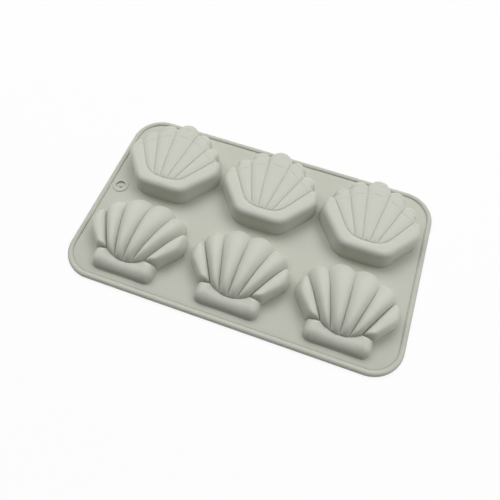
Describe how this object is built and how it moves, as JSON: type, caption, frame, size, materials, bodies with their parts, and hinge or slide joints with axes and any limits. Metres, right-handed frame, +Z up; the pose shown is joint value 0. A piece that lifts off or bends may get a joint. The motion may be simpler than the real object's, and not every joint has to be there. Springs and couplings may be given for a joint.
{
  "type": "silicone shell mold",
  "caption": "Flexible baking mould lying mouths down: ribbed scallop cups with smooth lips behind puffy clam cups with hinge bars, joined by a flat web with a beaded rim.",
  "frame": {"origin": "centre of the footprint, on the surface that the mould rests on with its cups' mouths down", "axes": "+X along the rows of cups, +Y from the clam row to the scallop row, +Z up, the way the cups stand"},
  "size_m": [0.29, 0.177, 0.023],
  "materials": {
    "silicone": "matte, pale sage grey"
  },
  "bodies": {
    "root": {"web_sheet": "silicone", "rim_bead": "silicone", "gate_pad": "silicone", "scallop_cup_left": "silicone", "scallop_cup_middle": "silicone", "scallop_cup_right": "silicone", "clam_cup_left": "silicone", "clam_cup_middle": "silicone", "clam_cup_right": "silicone"}
  },
  "joints": []
}
